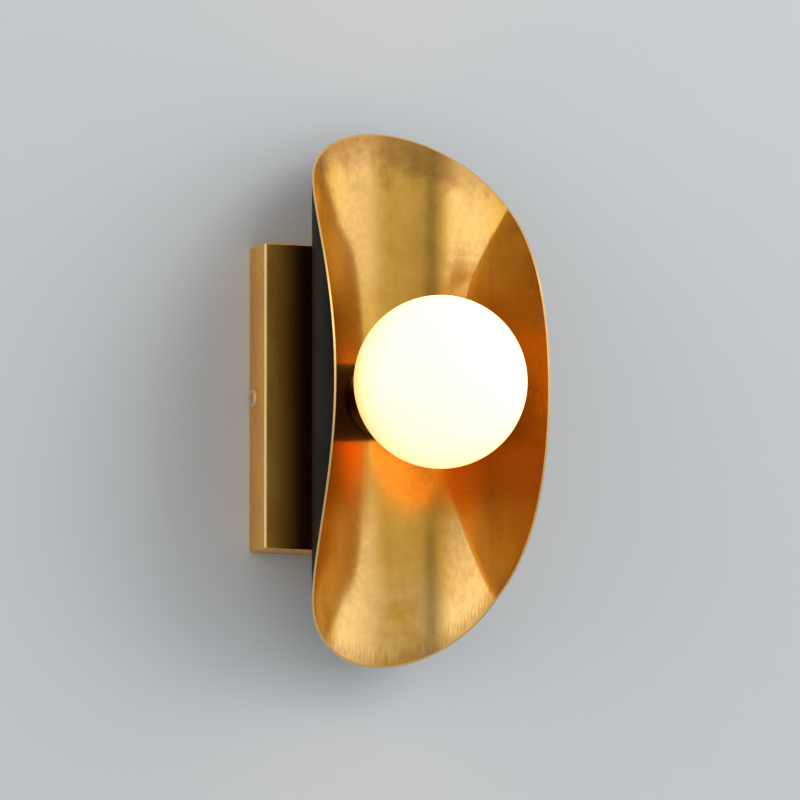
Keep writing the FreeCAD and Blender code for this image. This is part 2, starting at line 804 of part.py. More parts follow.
def terminal_block():
    body = new_body("terminal_block", depth=d["plate_sheet"], z=d["block_centre"])
    outline = new_sketch(body, "XY_Plane")
    draw_rectangle(outline, d["block_width"], d["block_height"])
    pad(body, outline, d["block_deep"])
    tunnel = d["insert_diameter"] + d["thread_fit"] * 2
    tunnels = new_sketch(body, "XZ_Plane")
    for step in (-1, 0, 1):
        draw_circle(tunnels, tunnel, d["pole_pitch"] * step, d["block_deep"] / 2)
    cut(body, tunnels, symmetric=True)
    wells = new_sketch(body, "XY_Plane", d["block_deep"] / 2)
    for step in (-1, 0, 1):
        for side in (1, -1):
            draw_circle(wells, d["clamp_screw_shank"] + d["clearance"] * 2,
                        d["pole_pitch"] * step, d["clamp_screw_offset"] * side)
    cut(body, wells)
    fixing = new_sketch(body, "XY_Plane")
    draw_circle(fixing, d["block_screw_shank"] + d["clearance"], d["pole_pitch"] / 2, 0)
    cut(body, fixing)
    seat = new_sketch(body, "XY_Plane", d["block_deep"] / 2)
    draw_circle(seat, d["block_screw_head"] + d["clearance"], d["pole_pitch"] / 2, 0)
    cut(body, seat)


def terminal_inserts():
    centre = SIZES["plate_sheet"] + SIZES["block_deep"] / 2
    length = SIZES["insert_length"]
    low = SIZES["block_centre"] - length / 2
    upward = FreeCAD.Vector(0, 1, 0)
    solids = []
    for x in pole_xs():
        start = FreeCAD.Vector(x, low, centre)
        sleeve = Part.makeCylinder(SIZES["insert_diameter"] / 2, length, start, upward)
        sleeve = sleeve.cut(Part.makeCylinder(SIZES["insert_bore"] / 2, length, start, upward))
        for side in (1, -1):
            y = SIZES["block_centre"] + SIZES["clamp_screw_offset"] * side
            tap = SIZES["clamp_screw_shank"] + SIZES["thread_fit"] * 2
            sleeve = sleeve.cut(along_z(x, y, centre, SIZES["insert_diameter"], tap))
        solids.append(sleeve)
    solid_node("terminal_inserts", Part.makeCompound(solids))


def terminal_screws():
    """Headless screws, two over each insert, that press on the wire."""
    centre = SIZES["plate_sheet"] + SIZES["block_deep"] / 2
    start = centre + SIZES["insert_bore"] / 2
    top = SIZES["plate_sheet"] + SIZES["block_deep"] - SIZES["clamp_screw_sink"]
    shank = SIZES["clamp_screw_shank"]
    groove = SIZES["screw_groove"]
    solids = []
    for x in pole_xs():
        for side in (1, -1):
            y = SIZES["block_centre"] + SIZES["clamp_screw_offset"] * side
            corner = FreeCAD.Vector(x - shank / 2, y - groove / 2, top - groove)
            screw = along_z(x, y, start, top - start, shank)
            solids.append(screw.cut(Part.makeBox(shank, groove, groove, corner)))
    solid_node("terminal_screws", Part.makeCompound(solids))


def block_fixing_screw():
    solid_node("block_fixing_screw", slotted_screw(
        SIZES["pole_pitch"] / 2, SIZES["block_centre"], SIZES["plate_sheet"] - SIZES["plate_bite"],
        SIZES["plate_sheet"] + SIZES["block_deep"] / 2, SIZES["block_screw_shank"],
        SIZES["block_screw_head"], SIZES["block_screw_head_high"], SIZES["screw_groove"]))


# ---------------------------------------------------------------- wires

def wire_start(x):
    """The first two points of a wire: inside its insert, and straight below it."""
    level = SIZES["plate_sheet"] + SIZES["block_deep"] / 2
    low = SIZES["block_centre"] - SIZES["insert_length"] / 2
    inside = FreeCAD.Vector(x, low + SIZES["wire_seat"], level)
    return [inside, FreeCAD.Vector(x, low - SIZES["wire_bend"], level)]


def lamp_wire(label, pole_x, clamp_sign):
    """From its terminal, down and round into the nipple, then out sideways to its clamp."""
    lane_x = SIZES["wire_spread"] * clamp_sign
    clamp_level = floor_back.value - SIZES["clamp_high"] / 2
    clamp_wall = SIZES["clamp_end_wall"] + SIZES["clamp_end_gap"]
    clamp_end = (SIZES["clamp_offset"] + SIZES["clamp_size"] / 2 - clamp_wall) * clamp_sign
    points = wire_start(pole_x)
    points.append(FreeCAD.Vector(lane_x, 0, points[-1].z))
    points.append(FreeCAD.Vector(lane_x, 0, clamp_level))
    points.append(FreeCAD.Vector(clamp_end, 0, clamp_level))
    bends = [SIZES["wire_bend"], SIZES["wire_bend"], SIZES["wire_end_bend"]]
    solid_node(label, round_tube(tube_path(points, bends), SIZES["wire_diameter"]))


def earth_wire():
    """From its terminal, down past the cable hole and into the ring terminal's barrel."""
    screw_x = -SIZES["earth_screw_x"]
    barrel_y = SIZES["ring_barrel_start"] - SIZES["earth_screw_drop"]
    barrel_level = SIZES["plate_sheet"] + SIZES["ring_barrel"] / 2
    points = wire_start(-SIZES["pole_pitch"])
    points.append(FreeCAD.Vector(screw_x - SIZES["earth_swing"], 0, points[-1].z))
    mouth_y = barrel_y + SIZES["ring_barrel_length"]
    points.append(FreeCAD.Vector(screw_x, mouth_y + SIZES["wire_bend"] / 2, barrel_level))
    points.append(FreeCAD.Vector(screw_x, barrel_y + SIZES["ring_lead_in"], barrel_level))
    solid_node("earth_wire", round_tube(tube_path(points, [SIZES["wire_bend"]] * 3), SIZES["wire_diameter"]))


def earth_ring():
    """Flat ring with a round barrel, clamped to the bracket by the earth screw."""
    x = -SIZES["earth_screw_x"]
    y = -SIZES["earth_screw_drop"]
    bottom = SIZES["plate_sheet"]
    thick = SIZES["ring_thick"]
    barrel = SIZES["ring_barrel"]
    start = SIZES["ring_barrel_start"]
    length = SIZES["ring_barrel_length"]
    upward = FreeCAD.Vector(0, 1, 0)
    axis = FreeCAD.Vector(x, y + start, bottom + barrel / 2)
    ring = along_z(x, y, bottom, thick, SIZES["ring_diameter"])
    neck = Part.makeBox(barrel, start + length / 2, thick, FreeCAD.Vector(x - barrel / 2, y, bottom))
    sleeve = Part.makeCylinder(barrel / 2, length, axis, upward)
    bore = SIZES["wire_diameter"] / 2 + SIZES["thread_fit"]
    body = ring.fuse([neck, sleeve]).removeSplitter()
    body = body.cut(Part.makeCylinder(bore, length, axis, upward))
    hole = SIZES["earth_screw_shank"] + SIZES["clearance"]
    solid_node("earth_ring_terminal", body.cut(along_z(x, y, bottom, thick, hole)))


def earth_screw():
    solid_node("earth_screw", slotted_screw(
        -SIZES["earth_screw_x"], -SIZES["earth_screw_drop"], SIZES["plate_sheet"] - SIZES["plate_bite"],
        SIZES["plate_sheet"] + SIZES["ring_thick"], SIZES["earth_screw_shank"],
        SIZES["earth_screw_head"], SIZES["earth_screw_head_high"], SIZES["screw_groove"]))


# ---------------------------------------------------------------- bulb

collar_front = d["collar_start"] + d["collar_length"]
globe_centre = collar_front + root(
    d["globe_diameter"] * d["globe_diameter"] / 4 - d["globe_mouth"] * d["globe_mouth"] / 4)


def bulb_globe():
    outer = d["globe_diameter"] / 2
    inner = outer - d["globe_wall"]
    mouth = d["globe_mouth"] / 2
    centre = globe_centre
    inner_mouth = mouth - d["globe_wall"]
    back = centre - root(inner * inner - inner_mouth * inner_mouth)
    turned_body("bulb_globe", [(mouth, collar_front), (outer, centre), (0, centre + outer),
                               (0, centre + inner), (inner, centre), (inner_mouth, back)],
                {0: outer, 1: outer, 3: -inner, 4: -inner}, depth=bulb_tip)


def bulb_collar():
    """Flared skirt between the threaded cap and the globe, with a spigot inside the cap."""
    neck = d["collar_neck"] / 2
    wall = d["collar_wall"]
    mouth = d["globe_mouth"] / 2
    start = d["collar_start"]
    spigot = d["collar_spigot"] / 2
    spigot_start = start - d["collar_spigot_length"]
    step = start + wall
    front = collar_front
    turned_body("bulb_collar",
                [(spigot - wall, spigot_start), (spigot, spigot_start), (spigot, start), (neck, start),
                 (neck, step), (mouth, front), (mouth - wall, front), (spigot - wall, step)],
                depth=bulb_tip)


def bulb_cap():
    """Screw cap: rounded thread rings on a thin shell, closed in at the tip end."""
    crest = d["cap_thread"] / 2
    valley = d["cap_root"] / 2
    inner = valley - d["cap_sheet"]
    pitch = d["cap_pitch"]
    ridge = d["cap_ridge"]
    rise = crest - valley
    bulge = (rise * rise + ridge * ridge / 4) / (rise * 2)
    start = d["cap_start"]
    end = d["collar_start"]
    corners = [(inner, start), (valley, start)]
    arcs = {}
    for ring in range(int(SIZES["cap_turns"])):
        low = start + pitch * ring + (pitch - ridge) / 2
        arcs[len(corners)] = bulge
        corners += [(valley, low), (valley, low + ridge)]
    corners += [(valley, end), (inner, end)]
    turned_body("bulb_cap", corners, arcs, depth=bulb_tip)


def bulb_cap_insulator():
    tip = d["tip_diameter"] / 2
    outer = d["cap_root"] / 2 - d["cap_sheet"] / 2
    inside = d["cap_root"] / 2 - d["cap_sheet"]
    start = d["tip_dome"] + d["tip_thick"]
    front = d["cap_start"] + d["insulator_seat"]
    bore = d["lead_diameter"] / 2 + d["thread_fit"]
    turned_body("bulb_cap_insulator", [(bore, start), (tip, start), (outer, d["cap_start"]),
                                       (inside, d["cap_start"]), (inside, front), (bore, front)],
                depth=bulb_tip)


def bulb_tip_contact():
    tip = d["tip_diameter"] / 2
    dome = d["tip_dome"]
    high = dome + d["tip_thick"]
    flat = tip / 2
    turned_body("bulb_tip_contact", [(0, 0), (flat, 0), (tip, dome), (tip, high), (0, high)], depth=bulb_tip)


def led_carrier():
    """Disc with a sloping edge that follows the inside of the collar."""
    thick = d["carrier_thick"]
    cone_length = collar_front - d["collar_start"] - d["collar_wall"]
    slope = (d["globe_mouth"] - d["collar_spigot"]) / 2 / cone_length
    front = d["globe_mouth"] / 2 - d["collar_wall"] - d["clearance"]
    turned_body("led_carrier", [(0, 0), (front - slope * thick, 0), (front, thick), (0, thick)],
                depth=bulb_tip + collar_front - thick)


def led_chips():
    size = SIZES["led_size"]
    top = (bulb_tip + collar_front).value
    solids = []
    count = int(SIZES["led_count"])
    for number in range(count):
        chip = Part.makeBox(size, size, SIZES["led_high"], FreeCAD.Vector(-size / 2, -size / 2, top))
        chip.translate(FreeCAD.Vector(SIZES["led_ring"] / 2, 0, 0))
        chip.rotate(FreeCAD.Vector(0, 0, 0), FreeCAD.Vector(0, 0, 1), FULL_TURN / count * number)
        solids.append(chip)
    solid_node("led_chips", Part.makeCompound(solids))


board_back = bulb_tip + collar_front - d["carrier_thick"] - d["board_length"]


def bulb_lead():
    """Stiff wire from the tip contact to the driver board."""
    start = bulb_tip + d["tip_dome"] + d["tip_thick"]
    body = new_body("bulb_lead", depth=start)
    outline = new_sketch(body, "XY_Plane")
    draw_circle(outline, d["lead_diameter"])
    pad(body, outline, board_back - start)


def driver_board():
    body = new_body("driver_board", depth=board_back)
    outline = new_sketch(body, "XY_Plane")
    draw_rectangle(outline, d["board_width"], d["board_thick"])
    pad(body, outline, d["board_length"])


# ---------------------------------------------------------------- build and write

wall_bracket()
cable_bushing()
box_cover()
side_screw("side_screw_left", -1, TO_LEFT)
side_screw("side_screw_right", 1, TO_RIGHT)
shell_reflector()
saddle_washers()
hollow_nipple()
hex_nut("box_hex_nut", box_nut_back)
hex_nut("cup_hex_nut", cup_nut_back)
lock_washer()
socket_cup()
holder_plate()
holder_body()
screw_shell_liner()
centre_contact()
wire_clamp("neutral_clamp", 1, d["neutral_rivet_offset"], floor_front)
wire_clamp("live_clamp", -1, d["live_rivet_offset"], floor_front)
holder_screws()
terminal_block()
terminal_inserts()
terminal_screws()
block_fixing_screw()
lamp_wire("live_wire", 0, -1)
lamp_wire("neutral_wire", SIZES["pole_pitch"], 1)
earth_wire()
earth_ring()
earth_screw()
bulb_globe()
bulb_collar()
bulb_cap()
bulb_cap_insulator()
bulb_tip_contact()
led_carrier()
led_chips()
driver_board()
bulb_lead()
doc.recompute()

for item in doc.Objects:
    if "Invalid" in item.State or "Error" in item.State:
        raise RuntimeError(f"{item.Label}: {item.State}")

os.makedirs("parts", exist_ok=True)
for node in nodes:
    if node.Shape.isNull() or not node.Shape.isValid():
        raise RuntimeError(f"{node.Label}: bad shape")
    node.Shape.exportStep(f"parts/{node.Label}.step")
    box = node.Shape.BoundBox
    print(f"{node.Label:22s} solids {len(node.Shape.Solids)} volume {node.Shape.Volume:10.1f} "
          f"x {box.XMin:7.2f} {box.XMax:7.2f} y {box.YMin:8.2f} {box.YMax:7.2f} "
          f"z {box.ZMin:7.2f} {box.ZMax:7.2f}")
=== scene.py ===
import json
import math

import bpy
from mathutils import Matrix, Vector


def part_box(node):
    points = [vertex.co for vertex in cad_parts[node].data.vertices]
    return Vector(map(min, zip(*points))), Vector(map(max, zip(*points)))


# Looks of a shell wall sconce: brass shell lit by an opal globe, on a brass wall box.
# Lengths are metres. The wall is the plane Y = 0 and the room lies on its -Y side.

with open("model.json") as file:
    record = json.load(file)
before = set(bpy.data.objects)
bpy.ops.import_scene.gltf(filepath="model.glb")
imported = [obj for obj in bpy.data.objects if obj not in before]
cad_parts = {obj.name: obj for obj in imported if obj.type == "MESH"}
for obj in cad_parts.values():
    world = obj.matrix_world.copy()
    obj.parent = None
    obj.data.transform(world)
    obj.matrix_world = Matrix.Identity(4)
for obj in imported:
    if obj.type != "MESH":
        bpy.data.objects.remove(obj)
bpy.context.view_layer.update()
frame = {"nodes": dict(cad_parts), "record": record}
nodes = frame["nodes"]

AXIS_DEPTH = 0.085
# Seen from the side, the rim is an arc about a point behind the wall, then straight to each tip
# from RIM_TANGENT above and below the axis.
RIM_RADIUS = 0.142
RIM_TANGENT = 0.107
RIM_TURN = math.asin(RIM_TANGENT / RIM_RADIUS)
RIM_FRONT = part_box("shell_reflector")[0][1]
RIM_CENTRE = RIM_FRONT + RIM_RADIUS
RIM_MARGIN = 0.0001
BOX_MARGIN = 0.0003
BOX_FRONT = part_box("box_cover")[0][1] + BOX_MARGIN


# ---------------------------------------------------------------- shader helpers

class Graph:
    """Adds nodes to a node tree."""

    def __init__(self, tree):
        self.tree = tree
        self.coords = tree.nodes.new("ShaderNodeTexCoord")

    def feed(self, value, socket):
        if isinstance(value, bpy.types.NodeSocket):
            self.tree.links.new(value, socket)
        else:
            socket.default_value = value

    def math(self, kind, first, second=0.0):
        node = self.tree.nodes.new("ShaderNodeMath")
        node.operation = kind
        self.feed(first, node.inputs[0])
        self.feed(second, node.inputs[1])
        return node.outputs[0]

    def vector(self, kind, first, second):
        node = self.tree.nodes.new("ShaderNodeVectorMath")
        node.operation = kind
        self.feed(first, node.inputs[0])
        self.feed(second, node.inputs[1])
        return node.outputs["Value" if kind == "DOT_PRODUCT" else "Vector"]

    def combine(self, *parts):
        node = self.tree.nodes.new("ShaderNodeCombineXYZ")
        for value, socket in zip(parts, node.inputs):
            self.feed(value, socket)
        return node.outputs[0]

    def split(self, vector):
        node = self.tree.nodes.new("ShaderNodeSeparateXYZ")
        self.feed(vector, node.inputs[0])
        return node.outputs

    def length(self, vector):
        return self.math("SQRT", self.vector("DOT_PRODUCT", vector, vector))

    def product(self, first, *others):
        for other in others:
            first = self.math("MULTIPLY", first, other)
        return first

    def fade(self, value, start, end, low=0.0, high=1.0):
        node = self.tree.nodes.new("ShaderNodeMapRange")
        node.interpolation_type = "SMOOTHSTEP"
        self.feed(value, node.inputs["Value"])
        for socket, number in (("From Min", start), ("From Max", end), ("To Min", low), ("To Max", high)):
            node.inputs[socket].default_value = number
        return node.outputs["Result"]

    def band(self, value, first_edge, second_edge, high=1.0):
        """High between two soft edges, each written (where it is nothing, where it is full)."""
        return self.product(self.fade(value, *first_edge, 0.0, high), self.fade(value, *second_edge))

    def mix(self, share, first, second):
        node = self.tree.nodes.new("ShaderNodeMix")
        node.data_type = "RGBA"
        self.feed(share, node.inputs["Factor"])
        for value, name in ((first, "A"), (second, "B")):
            socket = next(item for item in node.inputs if item.name == name and item.type == "RGBA")
            self.feed(value if isinstance(value, bpy.types.NodeSocket) else (*value, 1.0), socket)
        return next(item for item in node.outputs if item.type == "RGBA")


class Finish(Graph):
    """One node material around a Principled shader."""

    def __init__(self, name):
        self.material = bpy.data.materials.new(name)
        self.material.use_nodes = True
        super().__init__(self.material.node_tree)
        self.shader = self.tree.nodes["Principled BSDF"]
        self.position = self.coords.outputs["Object"]
        self.normal = self.coords.outputs["Normal"]

    def noise(self, scale, stretch=(1, 1, 1), detail=3.0, rough=0.55):
        node = self.tree.nodes.new("ShaderNodeTexNoise")
        self.feed(self.vector("MULTIPLY", self.position, stretch), node.inputs["Vector"])
        node.inputs["Scale"].default_value = scale
        node.inputs["Detail"].default_value = detail
        node.inputs["Roughness"].default_value = rough
        return node.outputs["Fac"]

    def bump(self, height, distance, strength=1.0, normal=None):
        node = self.tree.nodes.new("ShaderNodeBump")
        if normal is not None:
            self.feed(normal, node.inputs["Normal"])
        node.inputs["Strength"].default_value = strength
        node.inputs["Distance"].default_value = distance
        self.feed(height, node.inputs["Height"])
        self.feed(node.outputs["Normal"], self.shader.inputs["Normal"])

    def set(self, **values):
        for name, value in values.items():
            self.feed(value, self.shader.inputs[name.replace("_", " ")])
        return self.material


GRAIN_DEPTH = 0.00002
POLISH_SPREAD = 0.15


def speckled(name, dark, light, roughness, metallic=0.0, scale=900.0, stretch=(1, 1, 1)):
    """A plain finish with a fine mottled grain."""
    graph = Finish(name)
    grain_noise = graph.noise(scale, stretch)
    graph.feed(graph.mix(grain_noise, dark, light), graph.shader.inputs["Base Color"])
    spread = roughness * POLISH_SPREAD
    graph.feed(graph.fade(grain_noise, 0.3, 0.7, roughness - spread, roughness + spread),
               graph.shader.inputs["Roughness"])
    graph.bump(grain_noise, GRAIN_DEPTH)
    return graph.set(Metallic=metallic)


# ---------------------------------------------------------------- brass

def rim_distance(graph, spot, height):
    """How far a point of the shell lies inside the rim, seen from the side."""
    out = graph.math("SUBTRACT", RIM_CENTRE, spot[1])
    arc = graph.length(graph.combine(out, height, 0.0))
    line = graph.math("ADD", graph.math("MULTIPLY", out, math.cos(RIM_TURN)),
                      graph.math("MULTIPLY", height, math.sin(RIM_TURN)))
    steep = graph.math("GREATER_THAN", height, graph.math("MULTIPLY", out, math.tan(RIM_TURN)))
    reach = graph.math("ADD", arc, graph.math("MULTIPLY", steep, graph.math("SUBTRACT", line, arc)))
    return graph.math("SUBTRACT", RIM_RADIUS, reach)


# Soft edges on the shell are written (where it is nothing, where it is full), in metres from the
# lamp axis: along X, which runs to the right, along Z, which runs up, or by height off the axis.

LEFT_WALL = (-0.008, -0.026)
LEFT_TOP = (0.065, 0.10)
LEFT_FOOT = (-0.085, -0.115)
LEFT_LEAN = 0.25

RIGHT_WALL = (0.037, 0.055)
RIGHT_TOP = (0.02, 0.055)
RIGHT_FOOT = (-0.038, -0.058)
RIGHT_LEAN = 0.48
# The right wall leans only up to a line that moves outwards with the height off the axis.
RIGHT_LINE_SLOPE = 0.28
RIGHT_LINE_START = {"foot": 0.0230, "top": 0.0285}
RIGHT_LINE_CHANGE = (-0.02, 0.02)
RIGHT_LINE_EDGE = (0.002, -0.002)
# Level with the globe the right wall starts to lean nearer the middle.
GLOBE_LEVEL = ((0.070, 0.050), (-0.12, -0.06))
GLOBE_SHIFT = 0.0065

BELOW_GLOBE = ((-0.030, -0.042), (-0.065, -0.053))
RIGHT_OF_MIDDLE = ((0.012, 0.027), (0.046, 0.036))
UPWARD_LEAN = 0.05


def opened_out(graph, spot, height, inside):
    """Leans the shading normals as if the sheet opened out at its ends and swelled below the globe."""
    left_ends = graph.math("ADD", graph.fade(spot[2], *LEFT_TOP), graph.fade(spot[2], *LEFT_FOOT))
    left = graph.product(graph.fade(spot[0], *LEFT_WALL, 0.0, LEFT_LEAN), left_ends)

    start = graph.fade(spot[2], *RIGHT_LINE_CHANGE, RIGHT_LINE_START["foot"], RIGHT_LINE_START["top"])
    line = graph.math("ADD", graph.math("MULTIPLY", height, RIGHT_LINE_SLOPE), start)
    within = graph.fade(graph.math("SUBTRACT", spot[0], line), *RIGHT_LINE_EDGE)
    right_ends = graph.math("ADD", graph.fade(spot[2], *RIGHT_TOP), graph.fade(spot[2], *RIGHT_FOOT))
    shifted = graph.math("ADD", spot[0], graph.band(spot[2], *GLOBE_LEVEL, GLOBE_SHIFT))
    right = graph.product(graph.fade(shifted, *RIGHT_WALL, 0.0, RIGHT_LEAN), within, right_ends)

    below = graph.band(spot[2], *BELOW_GLOBE)
    upward = graph.product(below, graph.band(spot[0], *RIGHT_OF_MIDDLE, UPWARD_LEAN), inside)
    outward = graph.product(graph.math("ADD", left, right), inside, -1.0)
    surface = graph.tree.nodes.new("ShaderNodeNewGeometry").outputs["Normal"]
    leaned = graph.vector("ADD", surface, graph.combine(0.0, outward, upward))
    return graph.vector("NORMALIZE", leaned, (0, 0, 0))


BRASS_DEEP = (0.72, 0.40, 0.060)
BRASS_LIGHT = (0.84, 0.482, 0.086)
BRASS_MOTTLE = (0.66, 0.37, 0.085)
BRASS_STREAK = (0.52, 0.30, 0.07)
BRASS_SPECK = (0.38, 0.22, 0.07)
# Paler brass painted along the bright reflection bands: a painted highlight.
BRASS_PAINTED_HIGHLIGHT = (0.93, 0.60, 0.24)
BRASS_FOOT = (0.93, 0.62, 0.25)
# Painted shade level with the globe, reddened like the globe's warm reflected light; darker on the left.
BRASS_SHADE_GLOW_LEFT = (0.44, 0.22, 0.026)
BRASS_SHADE_GLOW_RIGHT = (0.58, 0.27, 0.030)
# Painted reflection of the globe's orange glow on the brass right of the globe.
BRASS_PAINTED_GLOBE_GLOW = (0.86, 0.35, 0.016)
BRASS_STAIN = (0.41, 0.20, 0.055)
BRASS_RIM = (0.88, 0.58, 0.22)
BLACK_DEEP = (0.003, 0.0027, 0.002)
BLACK_LIGHT = (0.006, 0.0055, 0.004)

# Where the painted highlight bands run across the shell, and from what height off the axis.
LEFT_HIGHLIGHT_BAND = ((-0.034, -0.020), (0.006, -0.006))
RIGHT_HIGHLIGHT_BAND = ((0.032, 0.040), (0.056, 0.048))
HIGHLIGHT_BAND_HEIGHT = (0.035, 0.08)
PALE_FOOT = (-0.085, -0.120)
# Where the painted shade level with the globe lies: away from the middle, between these heights.
OFF_MIDDLE = (0.008, 0.028)
SHADE_GLOW_LEVEL = ((0.078, 0.042), (-0.070, -0.048))
# Where the painted reflection of the globe's glow lies: right of the globe, level with it.
GLOBE_GLOW_SIDE = (0.046, 0.058)
GLOBE_GLOW_HEIGHT = (0.046, 0.022)


def shell_tint(graph, spot, height, clouds, mottle, streaks):
    """Aged brass with a pale foot, paler painted highlight bands, painted shade level with the globe and a
    painted reflection of its glow.
    """
    specks = graph.noise(1.0, (700, 700, 600), 1.0)
    tint = graph.mix(graph.fade(clouds, 0.35, 0.68), BRASS_DEEP, BRASS_LIGHT)
    tint = graph.mix(graph.fade(mottle, 0.40, 0.72, 0.0, 0.26), tint, BRASS_MOTTLE)
    tint = graph.mix(graph.fade(streaks, 0.45, 0.80, 0.0, 0.16), tint, BRASS_STREAK)
    tint = graph.mix(graph.fade(specks, 0.72, 0.78, 0.0, 0.45), tint, BRASS_SPECK)

    # Painted highlight: paler brass along the two bright reflection bands.
    highlight_bands = graph.math("ADD", graph.band(spot[0], *LEFT_HIGHLIGHT_BAND), graph.band(spot[0], *RIGHT_HIGHLIGHT_BAND))
    highlight_patches = graph.fade(mottle, 0.25, 0.6, 0.75, 0.5)
    tint = graph.mix(graph.product(highlight_bands, graph.fade(height, *HIGHLIGHT_BAND_HEIGHT), highlight_patches), tint, BRASS_PAINTED_HIGHLIGHT)

    patchy = graph.fade(clouds, 0.3, 0.6)
    tint = graph.mix(graph.product(graph.fade(spot[2], *PALE_FOOT, 0.0, 0.55), patchy), tint, BRASS_FOOT)

    # Painted shade, reddened like the globe's reflected light, level with the globe.
    off_middle = graph.fade(graph.math("ABSOLUTE", spot[0]), *OFF_MIDDLE, 0.0, 0.85)
    to_right = graph.math("GREATER_THAN", spot[0], 0.0)
    shade_glow_tint = graph.mix(to_right, BRASS_SHADE_GLOW_LEFT, BRASS_SHADE_GLOW_RIGHT)
    tint = graph.mix(graph.product(off_middle, graph.band(spot[2], *SHADE_GLOW_LEVEL)), tint, shade_glow_tint)
    # Painted reflection: bright orange brass right of the globe, standing in for its glow.
    painted_glow = graph.product(graph.fade(spot[0], *GLOBE_GLOW_SIDE), graph.fade(height, *GLOBE_GLOW_HEIGHT))
    return graph.mix(painted_glow, tint, BRASS_PAINTED_GLOBE_GLOW)


CROWN_DEPTH = (0.024, 0.001)
CROWN_START = (0.055, 0.095)
CROWN_RIGHT = (0.050, 0.034)
FLANK_DEPTH = (0.009, 0.001)
FLANK_START = (-0.02, 0.03)
FOOT_DEPTH = (0.009, 0.000)
FOOT_START = (-0.07, -0.11)


def shell_patina(graph, spot, height, clouds):
    """Stain inside the rim: deep round the top, thin on the flanks, brushed at the foot."""
    edge = rim_distance(graph, spot, height)
    blotched = graph.math("ADD", edge, graph.fade(clouds, 0.3, 0.7, -0.008, 0.008))
    crown = graph.product(graph.fade(blotched, *CROWN_DEPTH), graph.fade(spot[2], *CROWN_START),
                          graph.fade(spot[0], *CROWN_RIGHT, 0.3, 1.0))
    flank = graph.product(graph.fade(blotched, *FLANK_DEPTH), graph.fade(spot[2], *FLANK_START, 0.0, 0.6))
    hairs = graph.noise(1.0, (2600, 2600, 130), 2.0)
    brushed = graph.math("ADD", edge, graph.fade(hairs, 0.35, 0.65, -0.003, 0.004))
    foot = graph.product(graph.fade(brushed, *FOOT_DEPTH), graph.fade(spot[2], *FOOT_START, 0.0, 0.7))
    return graph.math("MAXIMUM", crown, graph.math("MAXIMUM", flank, foot))


DULL_BELOW = ((-0.025, -0.045), (-0.080, -0.062))
DULL_RIGHT = (0.036, 0.050)
DULL_RIGHT_HEIGHT = (0.062, 0.045)
HAZE_BELOW = 0.07
HAZE_RIGHT = 0.18
HAZE_PATINA = 0.14
HAZE_OUTSIDE = 0.20


def shell_roughness(graph, spot, height, mottle, patina, unpolished):
    """Polished inside, duller level with the globe, on stains and wherever it is unpolished."""
    polish = graph.fade(mottle, 0.3, 0.8, 0.13, 0.21)
    stained = graph.math("ADD", polish, graph.math("MULTIPLY", patina, HAZE_PATINA))
    below = graph.band(spot[2], *DULL_BELOW, HAZE_BELOW)
    level_with_globe = graph.fade(height, *DULL_RIGHT_HEIGHT)
    right = graph.product(graph.fade(spot[0], *DULL_RIGHT, 0.0, HAZE_RIGHT), level_with_globe)
    dulled = graph.math("ADD", stained, graph.math("MAXIMUM", below, right))
    return graph.math("ADD", dulled, graph.math("MULTIPLY", unpolished, HAZE_OUTSIDE))


CUT_EDGE_SLANT = 0.03
SHEET_STREAKS = 0.000006


def shell_brass():
    """Aged brass inside, satin black outside, bare metal on the cut rim."""
    graph = Finish("shell_brass")
    spot = graph.split(graph.position)
    height = graph.math("ABSOLUTE", spot[2])
    facing = graph.split(graph.normal)
    from_axis = graph.vector("MULTIPLY", graph.vector("ADD", graph.position, (0, AXIS_DEPTH, 0)), (1, 1, 0))
    outside = graph.math("GREATER_THAN", graph.vector("DOT_PRODUCT", graph.normal, from_axis), 0.0)
    slanted = graph.math("GREATER_THAN", graph.math("ABSOLUTE", facing[2]), CUT_EDGE_SLANT)
    rim = graph.math("MAXIMUM", slanted, graph.math("LESS_THAN", spot[1], RIM_FRONT + RIM_MARGIN))
    skin = graph.math("MULTIPLY", outside, graph.math("SUBTRACT", 1.0, rim))
    inside = graph.math("SUBTRACT", 1.0, graph.math("MAXIMUM", outside, rim))

    clouds = graph.noise(1.0, (55, 55, 45), 4.0, 0.6)
    mottle = graph.noise(1.0, (330, 330, 260), 2.0, 0.6)
    streaks = graph.noise(1.0, (1500, 1500, 45), 3.0)
    tint = shell_tint(graph, spot, height, clouds, mottle, streaks)
    patina = shell_patina(graph, spot, height, clouds)
    stain = graph.math("MULTIPLY", patina, graph.fade(mottle, 0.3, 0.65, 0.9, 0.75))
    colour = graph.mix(rim, graph.mix(stain, tint, BRASS_STAIN), BRASS_RIM)
    black = graph.mix(graph.noise(500.0), BLACK_DEEP, BLACK_LIGHT)
    graph.feed(graph.mix(skin, colour, black), graph.shader.inputs["Base Color"])

    unpolished = graph.math("MAXIMUM", skin, rim)
    graph.feed(shell_roughness(graph, spot, height, mottle, patina, unpolished),
               graph.shader.inputs["Roughness"])
    graph.feed(graph.fade(skin, 1.0, 0.0, 0.0, 0.92), graph.shader.inputs["Metallic"])
    graph.bump(streaks, SHEET_STREAKS, 0.5, opened_out(graph, spot, height, inside))
    return graph.set(Specular_IOR_Level=0.03)


BOX_DEEP = (0.92, 0.42, 0.062)
BOX_LIGHT = (1.0, 0.53, 0.10)
BOX_STREAK = (0.42, 0.25, 0.09)
# Painted shade on the box near the wall.
BOX_PAINTED_WALL_SHADE = (0.56, 0.25, 0.030)
# Painted shade of the shell on the box front, nearly black.
BOX_PAINTED_SHELL_SHADE = (0.055, 0.014, 0.001)
# Painted highlight along the rounded folds of the box.
BOX_PAINTED_EDGE_HIGHLIGHT = (1.0, 0.80, 0.38)
